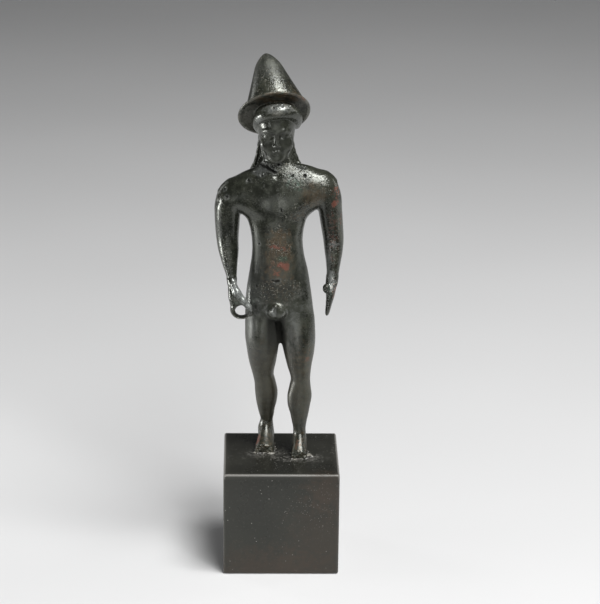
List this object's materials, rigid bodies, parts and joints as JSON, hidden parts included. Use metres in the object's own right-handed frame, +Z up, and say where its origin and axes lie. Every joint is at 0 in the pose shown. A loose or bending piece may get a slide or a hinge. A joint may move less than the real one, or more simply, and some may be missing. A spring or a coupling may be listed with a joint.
{
  "type": "bronze youth statuette on a display block",
  "caption": "Small cast bronze figure of a standing nude youth in a tall conical hat with an upturned brim, fixed with wax to a plain dark block.",
  "frame": {"origin": "centre of the block's underside", "axes": "+Z up along the figure, the figure faces -Y, +X towards the figure's left hand"},
  "size_m": [0.0377, 0.034, 0.151],
  "materials": {
    "bronze": "dark grey-green patinated bronze, semi-gloss, pitted, with small red cuprite patches",
    "block": "honed dark grey-brown, satin, fine pale specks, bright worn top edge",
    "wax": "translucent grey wax, satin, whitish where it is thick"
  },
  "bodies": {
    "root": {"bronze_figure": "bronze", "display_block": "block", "setting_wax_right": "wax", "setting_wax_left": "wax"}
  },
  "joints": []
}
